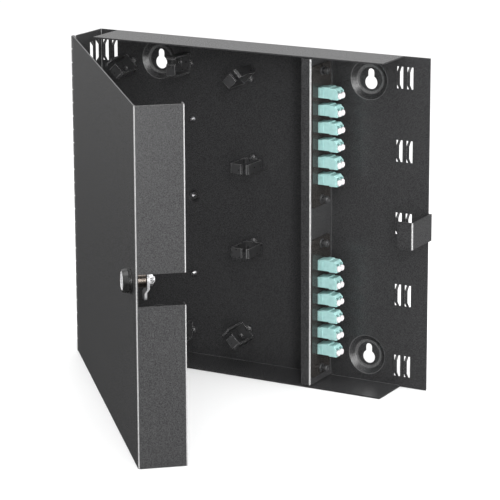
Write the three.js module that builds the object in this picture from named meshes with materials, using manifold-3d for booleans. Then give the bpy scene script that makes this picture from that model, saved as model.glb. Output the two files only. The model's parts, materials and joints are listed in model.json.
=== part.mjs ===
// Wall-mount fibre termination box: a folded steel back box and its hinged, locking door, a vertical
// divider with two plates of duplex adapters, and routing clips for the slack fibre.
// Millimetres. +Z is up, +X is right and -Y is the front; the wall is the plane Y = 0, and the origin
// lies on it, behind the middle of the back panel. The door stands open at DOOR_OPEN degrees.
import * as THREE from "three";
import { mergeVertices } from "three/addons/utils/BufferGeometryUtils.js";
import Module from "manifold-3d";

const wasm = await Module();
wasm.setup();

// Back box
const WIDTH = 342;
const HEIGHT = 305;
const SHEET = 1.2;
const STANDOFF = 4; // how far the mounting dishes hold the panel off the wall
const DEPTH = 43.5; // from the back of the panel to the front edge of its flanges
const PANEL_BACK = -STANDOFF;
const PANEL_FACE = PANEL_BACK - SHEET;
const FRONT = PANEL_BACK - DEPTH;
const LEFT = -WIDTH / 2;
const RIGHT = WIDTH / 2;
const TOP = HEIGHT / 2;
const FLANGE_LEFT = LEFT + 18.8; // the top and bottom flanges stop short of both sides
const FLANGE_RIGHT = RIGHT - 25.9;

// Keyholes, each in a round dish that bears on the wall
const KEYHOLE_X = [-106.6, 111.3];
const KEYHOLE_Z = [125.4, -129.9];
const KEYHOLE_HEAD_R = 6.2;
const KEYHOLE_SLOT_R = 3.2;
const KEYHOLE_RISE = 9.4; // from the centre of the head hole to the end of the slot
const DISH_RISE = 3; // the dish is centred a little above the head hole
const DISH_RIM_R = 18.5;
const DISH_FLOOR_R = 12.5;

// Cable-tie lances: slots, each with a strap that bows out of the sheet
const LANCE_ROWS = [133, 66.5, 0, -66.5, -133];
const LANCE_COLUMNS = [-165.2, -155.4, 141.7, 151.6];
const LANCE_WALL_Y = [-22, -12];
const LANCE_W = 6.4;
const LANCE_H = 20;
const STRAP_W = 2.2;
const STRAP_BOW = 3.2;

// Strike for the lock
const STRIKE_H = 24.5;
const STRIKE_X = RIGHT + 3; // its outer face, with room for the door's flange inside it
const STRIKE_FRONT = FRONT + 3.7;
const STRIKE_LIP = 14.8;

// Divider and adapter plates
const DIVIDER_X = 74.8; // right face of the web
const STRIP_LEFT = 65.6;
const DIVIDER_H = 300.6;
const PLATE_Y = -29;
const PLATE_Z = [79.2, -79.2];
const PLATE_W = 34.6;
const PLATE_H = 129.5;
const PLATE_T = 1.5;
const LATCH_SPACING = 117.5;
const WINDOW_W = 22;
const WINDOW_H = 100;

// Duplex adapters and their dust caps
const ADAPTERS_PER_PLATE = 6;
const ADAPTER_PITCH = 15.8;
const ADAPTER_W = 13;
const ADAPTER_H = 9.4;
const ADAPTER_LEFT = 61.4;
const ADAPTER_RIGHT = 95;
const PORT_OFFSET = 3.1;
const PORT_W = 5;
const PORT_LOW = -4.6;
const PORT_HIGH = 2.4;
const PORT_DEPTH = 7;
const CAP_R = 2.8;
const CAP_STEM_R = 2.1;
const CAP_DROP = 2.1; // the ports' axes lie below the middle of the adapter

// Routing clips
const CLIP_R = 18.8; // across the ring
const CLIP_DEPTH = 29;
const CLIP_W = 9;
const CLIP_WALL = 1.5;
const CLIP_LONG_LIP = 12.5;
const CLIP_MOUTH = 3.8;
// x, z and turn in degrees of each clip; the mouth looks along the turned +X
const CLIPS = [
  ["top", -77, 128.2, -90],
  ["top_right", -13.2, 122.6, -45],
  ["right_upper", -5.8, 40, 0],
  ["right_lower", -5.8, -39, 0],
  ["bottom_right", -15.4, -122.8, -135],
  ["bottom", -77, -128.2, 90],
  ["bottom_left", -138.2, -122.2, 135],
  ["left_lower", -148.2, -39, 180],
  ["left_upper", -148.2, 40, 180],
  ["top_left", -138.2, 121.6, -135],
];

// Hinge: its axis is the door's own origin
const AXIS_X = LEFT - 1.7;
const AXIS_Y = FRONT - 1.5;
const DOOR_OPEN = 49;
const KNUCKLES = 24;
const KNUCKLE_GAP = 0.3;
const KNUCKLE_R = 2.1;
const KNUCKLE_BORE = 1.2;
const PIN_R = 1;
const LEAF_T = 1;
const LEAF_W = 11;
const FIT_GAP = 0.1; // between pieces that bear on each other inside the turned door

// Door, measured from the hinge axis: x along the door, y into the box
const DOOR_START = 2.4;
const DOOR_END = STRIKE_X - SHEET - 0.35 - AXIS_X;
const DOOR_FACE = -1.3;
const DOOR_FLANGE = 41.6;
const DOOR_RETURN = 9;
const NOTCH_LOW = -14.2;
const NOTCH_HIGH = 13;

// Cam lock
const LOCK_X = 318;
const LOCK_Z = 1.5;
const BEZEL_R = 10.8;
const BEZEL_H = 7.6;
const BARREL_R = 6.6;
const BARREL_END = 11.2;
const PLUG_FACE_R = 8.2;
const PLUG_R = 4.8;
const CLIP_RING_R = 9.6; // the spring clip that holds the barrel against the door
const CLIP_RING_T = 0.9;
const CLIP_RING_GAP = 4.6;
const TAIL_R = 3;
const CAM_T = 2.3;
const CAM_REACH = 16.5;
const CAM_CRANK = 2.2;

const FINISH = {
  powder: { color: 0x2b2b2d, roughness: 0.6, metalness: 0.3 },
  plate: { color: 0x2a2725, roughness: 0.5, metalness: 0.3 },
  aqua: { color: 0x86cfc7, roughness: 0.4, metalness: 0 },
  white: { color: 0xf1eff0, roughness: 0.45, metalness: 0 },
  nylon: { color: 0x1b1b1c, roughness: 0.45, metalness: 0 },
  zinc: { color: 0xc4c5c8, roughness: 0.3, metalness: 1 },
  barrel: { color: 0x8d7f74, roughness: 0.3, metalness: 1 },
  bezel: { color: 0x161616, roughness: 0.35, metalness: 0.2 },
};

const box = new THREE.Group();
const door = new THREE.Group();
door.position.set(AXIS_X, AXIS_Y, 0);
door.rotation.z = THREE.MathUtils.degToRad(-DOOR_OPEN);
box.add(door);

// A three.js geometry as a solid; a profile that came out inside out is turned round.
function solid(geometry) {
  const bare = geometry.index ? geometry.toNonIndexed() : geometry.clone();
  bare.deleteAttribute("normal");
  bare.deleteAttribute("uv");
  const merged = mergeVertices(bare, 1e-4);
  const corners = merged.index.array;
  const kept = [];
  for (let i = 0; i < corners.length; i += 3) {
    const [a, b, c] = corners.subarray(i, i + 3);
    if (a !== b && b !== c && c !== a) kept.push(a, b, c);
  }
  const vertProperties = merged.attributes.position.array;
  const build = (triVerts) => new wasm.Manifold(new wasm.Mesh({ numProp: 3, vertProperties, triVerts }));
  const made = build(new Uint32Array(kept));
  return made.volume() < 0 ? build(new Uint32Array(kept.reverse())) : made;
}

const joined = (solids) => solids.reduce((all, next) => all.add(next));
const without = (body, cuts) => cuts.reduce((rest, next) => rest.subtract(next), body);

function addPiece(name, body, finish, parent = box) {
  const source = body.getMesh();
  const geometry = new THREE.BufferGeometry();
  geometry.setAttribute("position", new THREE.BufferAttribute(source.vertProperties, 3));
  geometry.setIndex(new THREE.BufferAttribute(source.triVerts, 1));
  geometry.computeVertexNormals();
  const mesh = new THREE.Mesh(geometry, new THREE.MeshStandardMaterial(FINISH[finish]));
  mesh.name = name;
  parent.add(mesh);
  return mesh;
}

// A block between two values on each axis
function block([x0, x1], [y0, y1], [z0, z1]) {
  const geometry = new THREE.BoxGeometry(x1 - x0, y1 - y0, z1 - z0);
  geometry.translate((x0 + x1) / 2, (y0 + y1) / 2, (z0 + z1) / 2);
  return solid(geometry);
}

const rect = (x0, x1, y0, y1) => [
  [x0, y0],
  [x1, y0],
  [x1, y1],
  [x0, y1],
];

// An outline of points with straight sides, or a ready Shape, pushed out along +Z
function extrude(outline, depth, curveSegments = 6) {
  const points = Array.isArray(outline) ? outline.map(([x, y]) => new THREE.Vector2(x, y)) : null;
  const shape = points ? new THREE.Shape(points) : outline;
  return new THREE.ExtrudeGeometry(shape, { depth, bevelEnabled: false, curveSegments });
}

// Sheets: an outline in X and Z pushed forward from a back face, and one in Y and Z pushed to the right
function sheetFacingFront(outline, back, thickness, segments) {
  const geometry = extrude(outline, thickness, segments);
  geometry.applyMatrix4(new THREE.Matrix4().set(1, 0, 0, 0, 0, 0, -1, back, 0, 1, 0, 0, 0, 0, 0, 1));
  return solid(geometry);
}

function sheetFacingRight(outline, left, thickness, segments) {
  const geometry = extrude(outline, thickness, segments);
  geometry.applyMatrix4(new THREE.Matrix4().set(0, 0, 1, left, 1, 0, 0, 0, 0, 1, 0, 0, 0, 0, 0, 1));
  return solid(geometry);
}

// A turned piece: profile points are [radius, distance along the axis]
function turned(profile, axis, [x, y, z], segments = 24) {
  const geometry = new THREE.LatheGeometry(
    profile.map(([r, h]) => new THREE.Vector2(r, h)),
    segments,
  );
  if (axis === "x") geometry.rotateZ(-Math.PI / 2);
  if (axis === "z") geometry.rotateX(Math.PI / 2);
  geometry.translate(x, y, z);
  return solid(geometry);
}

const rod = (r, from, to, axis, centre, segments) =>
  turned(
    [
      [0, from],
      [r, from],
      [r, to],
      [0, to],
    ],
    axis,
    centre,
    segments,
  );

const tube = (bore, r, from, to, axis, centre, segments) =>
  turned(
    [
      [bore, from],
      [r, from],
      [r, to],
      [bore, to],
      [bore, from],
    ],
    axis,
    centre,
    segments,
  );

// A hexagon nut with its bore along Y
function hexNut(acrossFlats, bore, from, to, [x, y, z]) {
  const hexagon = rod(acrossFlats / Math.sqrt(3), from, to, "y", [x, y, z], 6);
  return hexagon.subtract(rod(bore, from - 1, to + 1, "y", [x, y, z], 16));
}

// Side outline of a lance's strap: along is measured on the sheet, out is away from it
function strapOutline() {
  const end = LANCE_H / 2 + 0.6;
  const knee = LANCE_H / 2 - 4;
  return [
    [-end, 0],
    [-LANCE_H / 2 + 0.4, 0],
    [-knee + 0.4, STRAP_BOW],
    [knee - 0.4, STRAP_BOW],
    [LANCE_H / 2 - 0.4, 0],
    [end, 0],
    [end, SHEET],
    [LANCE_H / 2 - 0.4, SHEET],
    [knee, STRAP_BOW + SHEET],
    [-knee, STRAP_BOW + SHEET],
    [-LANCE_H / 2 + 0.4, SHEET],
    [-end, SHEET],
  ];
}

// Straps over the slots of the back panel, which bow forward, and of the left wall, which bow inward
function panelStrap(x, z) {
  const geometry = extrude(strapOutline(), STRAP_W);
  geometry.rotateY(-Math.PI / 2);
  geometry.rotateZ(Math.PI);
  geometry.translate(x - STRAP_W / 2, PANEL_BACK, z);
  return solid(geometry);
}

function wallStrap(y, z) {
  const geometry = extrude(strapOutline(), STRAP_W);
  geometry.rotateY(-Math.PI / 2);
  geometry.rotateZ(-Math.PI / 2);
  geometry.translate(LEFT, y - STRAP_W / 2, z);
  return solid(geometry);
}

// A round dish pressed back from the panel, rim first
function dish(x, z, rimR, floorR, depth) {
  const profile = [
    [0, PANEL_FACE + depth],
    [floorR, PANEL_FACE + depth],
    [rimR - 0.3, PANEL_FACE],
    [rimR + 0.6, PANEL_FACE],
    [rimR + 0.6, PANEL_BACK],
    [floorR + 0.8, PANEL_BACK + depth],
    [0, PANEL_BACK + depth],
  ];
  return turned(profile, "y", [x, 0, z]);
}

function keyholeCut(x, z) {
  const head = rod(KEYHOLE_HEAD_R, -STANDOFF, 1, "y", [x, 0, z]);
  const slotEnd = z + KEYHOLE_RISE;
  const slot = block([x - KEYHOLE_SLOT_R, x + KEYHOLE_SLOT_R], [-STANDOFF, 1], [z, slotEnd]);
  return joined([head, slot, rod(KEYHOLE_SLOT_R, -STANDOFF, 1, "y", [x, 0, slotEnd], 16)]);
}

const GROUND_X = -70.6;
const GROUND_Z = 2;
const GROUND_RIM_R = 6.5;
const GROUND_DIP = 2.4;

function makeBackBox() {
  const cuts = [];
  const straps = [];
  for (const z of LANCE_ROWS) {
    const slotZ = [z - LANCE_H / 2, z + LANCE_H / 2];
    for (const x of LANCE_COLUMNS) {
      cuts.push(block([x - LANCE_W / 2, x + LANCE_W / 2], [PANEL_FACE - 1, PANEL_BACK + 1], slotZ));
      straps.push(panelStrap(x, z));
    }
    for (const y of LANCE_WALL_Y) {
      cuts.push(block([LEFT - 1, LEFT + SHEET + 1], [y - LANCE_W / 2, y + LANCE_W / 2], slotZ));
      straps.push(wallStrap(y, z));
    }
  }
  const keyholes = KEYHOLE_X.flatMap((x) => KEYHOLE_Z.map((z) => [x, z]));
  const dishes = keyholes.map(([x, z]) => dish(x, z + DISH_RISE, DISH_RIM_R, DISH_FLOOR_R, STANDOFF));
  for (const [x, z] of keyholes) {
    cuts.push(rod(DISH_RIM_R, PANEL_FACE - 1, PANEL_BACK + 1, "y", [x, 0, z + DISH_RISE]));
  }
  cuts.push(rod(GROUND_RIM_R, PANEL_FACE - 1, PANEL_BACK + 1, "y", [GROUND_X, 0, GROUND_Z]));

  const height = [-TOP, TOP];
  const sheets = joined([
    block([LEFT, RIGHT], [PANEL_FACE, PANEL_BACK], height),
    block([LEFT, LEFT + SHEET], [FRONT, PANEL_BACK], height),
  ]);
  const flange = [FLANGE_LEFT, FLANGE_RIGHT];
  const strikeZ = [-STRIKE_H / 2, STRIKE_H / 2];
  const body = joined([
    without(sheets, cuts),
    ...straps,
    ...dishes,
    dish(GROUND_X, GROUND_Z, GROUND_RIM_R, GROUND_RIM_R - 2.4, GROUND_DIP),
    block(flange, [FRONT, PANEL_BACK], [TOP - SHEET, TOP]),
    block(flange, [FRONT, PANEL_BACK], [-TOP, -TOP + SHEET]),
    block([RIGHT - 1, STRIKE_X], [PANEL_FACE, PANEL_BACK], strikeZ),
    block([STRIKE_X - SHEET, STRIKE_X], [STRIKE_FRONT, PANEL_BACK], strikeZ),
    block([STRIKE_X - STRIKE_LIP, STRIKE_X], [STRIKE_FRONT, STRIKE_FRONT + SHEET], strikeZ),
  ]);
  addPiece("back_box", without(body, keyholes.map(([x, z]) => keyholeCut(x, z))), "powder");
}

// Threaded studs welded to the panel, and the ground stud with its nut in the middle dimple
const STUD_R = 1.5;
const STUD_COLLAR_R = 2.2;
const STUD_LENGTH = 4.6;

function makeStuds() {
  const base = PANEL_FACE - 0.05;
  const profile = [
    [0, base],
    [STUD_COLLAR_R, base],
    [STUD_COLLAR_R, base - 1],
    [STUD_R, base - 1],
    [STUD_R, base - STUD_LENGTH + 0.6],
    [STUD_R - 0.6, base - STUD_LENGTH],
    [0, base - STUD_LENGTH],
  ];
  addPiece("tray_stud_upper", turned(profile, "y", [GROUND_X + 0.3, 0, 75.4], 16), "zinc");
  addPiece("tray_stud_lower", turned(profile, "y", [GROUND_X + 0.3, 0, -72.8], 16), "zinc");
  const floor = base + GROUND_DIP;
  addPiece("ground_stud", rod(STUD_R, floor - 6.5, floor, "y", [GROUND_X, 0, GROUND_Z], 16), "zinc");
  addPiece("ground_nut", hexNut(6, STUD_R + 0.15, floor - 4, floor - 0.4, [GROUND_X, 0, GROUND_Z]), "zinc");
}

function makeDivider() {
  const height = [-DIVIDER_H / 2, DIVIDER_H / 2];
  const foot = PANEL_FACE - 0.05;
  const web = block([DIVIDER_X - SHEET, DIVIDER_X], [FRONT, foot], height);
  const strip = block([STRIP_LEFT, DIVIDER_X], [FRONT, FRONT + SHEET], height);
  const flange = block([DIVIDER_X - 12, DIVIDER_X], [foot - SHEET, foot], height);
  const cuts = [];
  for (const z of PLATE_Z) {
    const windowY = [PLATE_Y - WINDOW_W / 2, PLATE_Y + WINDOW_W / 2];
    cuts.push(block([DIVIDER_X - 5, DIVIDER_X + 5], windowY, [z - WINDOW_H / 2, z + WINDOW_H / 2]));
    for (const side of [-1, 1]) {
      const centre = [DIVIDER_X, PLATE_Y, z + (side * LATCH_SPACING) / 2];
      cuts.push(rod(3, -5, 5, "x", centre, 16));
    }
  }
  addPiece("divider_bracket", without(joined([web, strip, flange]), cuts), "powder");
}

function roundedRect(x0, x1, y0, y1, r) {
  const shape = new THREE.Shape();
  shape.moveTo(x0 + r, y0);
  shape.lineTo(x1 - r, y0);
  shape.absarc(x1 - r, y0 + r, r, -Math.PI / 2, 0, false);
  shape.lineTo(x1, y1 - r);
  shape.absarc(x1 - r, y1 - r, r, 0, Math.PI / 2, false);
  shape.lineTo(x0 + r, y1);
  shape.absarc(x0 + r, y1 - r, r, Math.PI / 2, Math.PI, false);
  shape.lineTo(x0, y0 + r);
  shape.absarc(x0 + r, y0 + r, r, Math.PI, Math.PI * 1.5, false);
  return shape;
}

const PLATE_LEFT = DIVIDER_X + 0.05;
const adapterZ = (plateZ, i) => plateZ + ((ADAPTERS_PER_PLATE - 1) / 2 - i) * ADAPTER_PITCH;

function makePlate(name, plateZ) {
  const outline = roundedRect(
    PLATE_Y - PLATE_W / 2,
    PLATE_Y + PLATE_W / 2,
    plateZ - PLATE_H / 2,
    plateZ + PLATE_H / 2,
    4,
  );
  const cuts = [];
  for (let i = 0; i < ADAPTERS_PER_PLATE; i++) {
    const z = adapterZ(plateZ, i);
    const w = ADAPTER_W / 2 + 0.2;
    const h = ADAPTER_H / 2 + 0.2;
    cuts.push(block([DIVIDER_X - 1, DIVIDER_X + 5], [PLATE_Y - w, PLATE_Y + w], [z - h, z + h]));
  }
  for (const side of [-1, 1]) {
    cuts.push(rod(2.9, -5, 5, "x", [DIVIDER_X, PLATE_Y, plateZ + (side * LATCH_SPACING) / 2], 16));
  }
  addPiece(name, without(sheetFacingRight(outline, PLATE_LEFT, PLATE_T), cuts), "plate");
}

// One adapter: a stepped body with a latch ramp on top and a bevel at each end, a flange behind the
// plate, and two ports with sleeve posts at each end
function adapterSolid(z) {
  const half = ADAPTER_H / 2;
  const middle = (ADAPTER_LEFT + ADAPTER_RIGHT) / 2;
  const end = ADAPTER_RIGHT - middle;
  // half of the side outline, from the bottom round the end to the latch ramp's top and foot
  const halfOutline = (rampTop, rampFoot) => [
    [end - 7.9, -half],
    [end - 7.4, -half - 0.7],
    [end, -half - 0.7],
    [end, half - 3.1],
    [end - 2.8, half - 0.1],
    [end - 7.6, half - 0.1],
    [end - 8.6, half + 0.7],
    [rampTop, half + 0.7],
    [rampFoot, half - 0.2],
  ];
  const side = halfOutline(3.7, 0.2);
  const mirrored = halfOutline(6.2, 4.2)
    .map(([x, h]) => [-x, h])
    .reverse();
  const outline = [...side, ...mirrored].map(([x, h]) => [middle + x, z + h]);
  const flangeX = [DIVIDER_X - 1.7, DIVIDER_X];
  const bodies = [
    sheetFacingFront(outline, PLATE_Y + ADAPTER_W / 2, ADAPTER_W),
    block(flangeX, [PLATE_Y - 9.5, PLATE_Y + 9.5], [z - 5.2, z + 5.2]),
  ];
  const ports = [];
  const posts = [];
  for (const offset of [-PORT_OFFSET, PORT_OFFSET]) {
    const y = PLATE_Y + offset;
    const portY = [y - PORT_W / 2, y + PORT_W / 2];
    const portZ = [z + PORT_LOW, z + PORT_HIGH];
    ports.push(block([ADAPTER_RIGHT - PORT_DEPTH, ADAPTER_RIGHT + 1], portY, portZ));
    ports.push(block([ADAPTER_LEFT - 1, ADAPTER_LEFT + PORT_DEPTH], portY, portZ));
    const axis = [0, y, z - CAP_DROP];
    posts.push(rod(1.3, ADAPTER_RIGHT - PORT_DEPTH - 1, ADAPTER_RIGHT - 3.8, "x", axis, 8));
    posts.push(rod(1.3, ADAPTER_LEFT + 3.8, ADAPTER_LEFT + PORT_DEPTH + 1, "x", axis, 8));
  }
  return joined([without(joined(bodies), ports), ...posts]);
}

// A duplex dust cap: two round-ended plugs and the web that ties them
function dustCapSolid(z) {
  const face = ADAPTER_RIGHT + 0.2;
  const profile = [
    [0, face - 3],
    [CAP_STEM_R, face - 3],
    [CAP_STEM_R, face],
    [CAP_R, face],
    [CAP_R, face + 1.1],
    [CAP_R - 0.7, face + 1.8],
    [0, face + 2],
  ];
  const plugs = [-PORT_OFFSET, PORT_OFFSET].map((offset) =>
    turned(profile, "x", [0, PLATE_Y + offset, z - CAP_DROP], 12),
  );
  const web = [z - CAP_DROP - 0.8, z - CAP_DROP + 0.8];
  const tie = block([face, face + 1], [PLATE_Y - PORT_OFFSET, PLATE_Y + PORT_OFFSET], web);
  return joined([...plugs, tie]);
}

// Push-pull latch: a grommet through plate and web, and the plunger that spreads it
function makeLatch(name, z) {
  const right = PLATE_LEFT + PLATE_T + 0.1;
  const grommet = turned(
    [
      [1.8, DIVIDER_X - 4.5],
      [2.7, DIVIDER_X - 4.5],
      [2.7, right],
      [4.2, right],
      [4.2, right + 0.9],
      [3.6, right + 1.4],
      [1.8, right + 1.4],
      [1.8, DIVIDER_X - 4.5],
    ],
    "x",
    [0, PLATE_Y, z],
    16,
  );
  const knob = right + 3.6;
  const plunger = turned(
    [
      [0, DIVIDER_X - 7],
      [1.2, DIVIDER_X - 7],
      [1.6, DIVIDER_X - 5.5],
      [1.6, right + 1.7],
      [2.2, right + 1.7],
      [2.2, knob],
      [3.2, knob + 0.4],
      [3.2, knob + 2.6],
      [2.4, knob + 3.4],
      [0, knob + 3.4],
    ],
    "x",
    [0, PLATE_Y, z],
    16,
  );
  addPiece("latch_grommet_" + name, grommet, "nylon");
  addPiece("latch_plunger_" + name, plunger, "nylon");
}

function makeAdapters() {
  ["upper", "lower"].forEach((level, p) => {
    makePlate("adapter_plate_" + level, PLATE_Z[p]);
    makeLatch(level + "_top", PLATE_Z[p] + LATCH_SPACING / 2);
    makeLatch(level + "_bottom", PLATE_Z[p] - LATCH_SPACING / 2);
    for (let i = 0; i < ADAPTERS_PER_PLATE; i++) {
      const number = String(p * ADAPTERS_PER_PLATE + i + 1).padStart(2, "0");
      addPiece("adapter_" + number, adapterSolid(adapterZ(PLATE_Z[p], i)), "aqua");
      addPiece("dust_cap_" + number, dustCapSolid(adapterZ(PLATE_Z[p], i)), "white");
    }
  });
}

// Routing clip in its own axes: X across the ring towards the mouth, -Y away from the panel, Z along
// the fibre. A ring open at the front between a long and a short lip, on a foot with two snap rivets.
function clipSolid() {
  const r = CLIP_R / 2;
  const in_ = r - CLIP_WALL;
  const back = -CLIP_DEPTH;
  const mouth = -r + CLIP_LONG_LIP;
  const c = 1.6; // corner chamfer
  const ring = [
    [-r + c, 0],
    [-r, -c],
    [-r, back + c],
    [-r + c, back],
    [mouth - 1, back],
    [mouth, back + CLIP_WALL],
    [-in_ + 1, back + CLIP_WALL],
    [-in_, back + CLIP_WALL + 1],
    [-in_, -CLIP_WALL],
    [in_, -CLIP_WALL],
    [in_, back + CLIP_WALL + 0.6],
    [mouth + CLIP_MOUTH, back + CLIP_WALL],
    [mouth + CLIP_MOUTH, back],
    [r - c, back],
    [r, back + c],
    [r, -c],
    [r - c, 0],
  ];
  const geometry = extrude(ring, CLIP_W);
  geometry.translate(0, 0, -CLIP_W / 2);
  const footLength = CLIP_W / 2 + 3.6;
  const foot = sheetFacingFront(roundedRect(-3.2, 3.2, -footLength, footLength, 3), 0, 1.4, 4);
  const rivets = [-1, 1].map((end) => {
    const head = [
      [0, 0],
      [2, 0],
      [2, -2],
      [1.2, -2.7],
      [0, -2.7],
    ];
    return turned(head, "y", [0, 0, end * (footLength - 2.4)], 10);
  });
  return joined([solid(geometry), foot, ...rivets]);
}

function makeClips() {
  const clip = clipSolid();
  for (const [name, x, z, turn] of CLIPS) {
    const piece = addPiece("routing_clip_" + name, clip, "nylon");
    piece.position.set(x, PANEL_FACE - 0.3, z);
    piece.rotation.y = THREE.MathUtils.degToRad(turn);
  }
}

// Piano hinge: both leaves carry alternate knuckles round one pin
const knuckleZ = (i) => {
  const pitch = HEIGHT / KNUCKLES;
  return [-TOP + i * pitch + KNUCKLE_GAP / 2, -TOP + (i + 1) * pitch - KNUCKLE_GAP / 2];
};

function makeHinge() {
  const height = [-TOP, TOP];
  const leafOuter = LEFT - 0.05 - LEAF_T;
  const bodyLeaf = [block([leafOuter, LEFT - 0.05], [AXIS_Y + 2.5, AXIS_Y + 2.5 + LEAF_W], height)];
  const doorLeaf = [block([DOOR_START, DOOR_START + LEAF_W], [0, LEAF_T - FIT_GAP], height)];
  for (let i = 0; i < KNUCKLES; i++) {
    const [low, high] = knuckleZ(i);
    if (i % 2) {
      doorLeaf.push(tube(KNUCKLE_BORE, KNUCKLE_R, low, high, "z", [0, 0, 0], 12));
      doorLeaf.push(block([1.5, DOOR_START + 1], [0, LEAF_T - FIT_GAP], [low, high]));
    } else {
      bodyLeaf.push(tube(KNUCKLE_BORE, KNUCKLE_R, low, high, "z", [AXIS_X, AXIS_Y, 0], 12));
      bodyLeaf.push(block([leafOuter, LEFT - 0.05], [AXIS_Y + 1.3, AXIS_Y + 3.5], [low, high]));
    }
  }
  addPiece("hinge_body_leaf", joined(bodyLeaf), "powder");
  addPiece("hinge_door_leaf", joined(doorLeaf), "powder", door);
  addPiece("hinge_pin", rod(PIN_R, -TOP, TOP, "z", [AXIS_X, AXIS_Y, 0], 12), "zinc");
}

function makeDoor() {
  const height = [-TOP, TOP];
  const flangeEnd = DOOR_FACE + DOOR_FLANGE;
  const face = block([DOOR_START, DOOR_END], [DOOR_FACE, DOOR_FACE + SHEET], height);
  const flange = block([DOOR_END - SHEET, DOOR_END], [DOOR_FACE, flangeEnd], height);
  const back = block([DOOR_END - DOOR_RETURN, DOOR_END], [flangeEnd - SHEET, flangeEnd], height);
  const notch = block(
    [DOOR_END - DOOR_RETURN - 5, DOOR_END + 5],
    [DOOR_FACE + SHEET + 0.6, flangeEnd + 5],
    [NOTCH_LOW, NOTCH_HIGH],
  );
  const lockHole = rod(BARREL_R + 0.2, -5, 5, "y", [LOCK_X, 0, LOCK_Z]);
  addPiece("door_panel", without(joined([face, flange, back]), [notch, lockHole]), "powder", door);
}

function makeLock() {
  const centre = [LOCK_X, 0, LOCK_Z];
  const front = DOOR_FACE - BEZEL_H;
  const seat = DOOR_FACE - FIT_GAP;
  const step = front + 5;
  const housing = turned(
    [
      [PLUG_FACE_R + 0.25, front],
      [BEZEL_R - 1.8, front],
      [BEZEL_R - 1.2, front + 0.8],
      [BEZEL_R - 0.3, seat - 2.4],
      [BEZEL_R - 1.2, seat - 2.2],
      [BEZEL_R - 1.2, seat - 1.4],
      [BEZEL_R, seat - 1.2],
      [BEZEL_R, seat],
      [BARREL_R, seat],
      [BARREL_R, BARREL_END],
      [PLUG_R + 0.25, BARREL_END],
      [PLUG_R + 0.25, step],
      [PLUG_FACE_R + 0.25, step],
      [PLUG_FACE_R + 0.25, front],
    ],
    "y",
    centre,
    28,
  );
  addPiece("lock_housing", housing, "bezel", door);

  const ring = tube(BARREL_R + 0.15, CLIP_RING_R, 0, CLIP_RING_T, "y", centre, 28);
  const mouth = [LOCK_X - CLIP_RING_GAP, LOCK_X + CLIP_RING_GAP];
  const open = block(mouth, [-1, CLIP_RING_T + 1], [LOCK_Z, LOCK_Z + CLIP_RING_R + 1]);
  addPiece("lock_spring_clip", ring.subtract(open), "zinc", door);

  const plug = turned(
    [
      [0, front + 0.2],
      [PLUG_FACE_R - 0.4, front + 0.2],
      [PLUG_FACE_R, front + 0.6],
      [PLUG_FACE_R, step - 0.3],
      [PLUG_R, step - 0.3],
      [PLUG_R, BARREL_END + 0.1],
      [TAIL_R, BARREL_END + 0.1],
      [TAIL_R, BARREL_END + 7.5],
      [0, BARREL_END + 7.5],
    ],
    "y",
    centre,
    24,
  );
  const keyway = block([LOCK_X - 0.7, LOCK_X + 0.7], [front - 1, front + 4], [LOCK_Z - 4, LOCK_Z + 4]);
  addPiece("lock_plug", plug.subtract(keyway), "zinc", door);

  const camFront = BARREL_END + 0.3;
  const crank = [LOCK_Z - BARREL_R - 0.6, LOCK_Z - BARREL_R - 4];
  const tip = LOCK_Z - CAM_REACH;
  const strip = [
    [camFront, LOCK_Z + 7.5],
    [camFront, crank[0]],
    [camFront - CAM_CRANK, crank[1]],
    [camFront - CAM_CRANK, tip],
    [camFront - CAM_CRANK + CAM_T, tip],
    [camFront - CAM_CRANK + CAM_T, crank[1] + 0.4],
    [camFront + CAM_T, crank[0] + 0.4],
    [camFront + CAM_T, LOCK_Z + 7.5],
  ];
  const outline = new THREE.Shape();
  outline.absarc(LOCK_X, LOCK_Z, 7.2, 0, Math.PI, false);
  outline.lineTo(LOCK_X - 5, tip + 2);
  outline.lineTo(LOCK_X - 3, tip);
  outline.lineTo(LOCK_X + 3, tip);
  outline.lineTo(LOCK_X + 5, tip + 2);
  const blank = sheetFacingFront(outline, 30, 40, 16);
  const bent = sheetFacingRight(strip, LOCK_X - 8, 16);
  const hole = rod(TAIL_R + 0.2, 0, 30, "y", centre, 16);
  addPiece("lock_cam", bent.intersect(blank).subtract(hole), "zinc", door);
  const nutStart = camFront + CAM_T + 0.2;
  addPiece("cam_nut", hexNut(10, TAIL_R + 0.2, nutStart, nutStart + 3, centre), "zinc", door);
}

makeBackBox();
makeStuds();
makeDivider();
makeAdapters();
makeClips();
makeHinge();
makeDoor();
makeLock();

export default box;
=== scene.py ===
import json
import math

import bmesh
import bpy
from mathutils import Matrix, Vector


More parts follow.
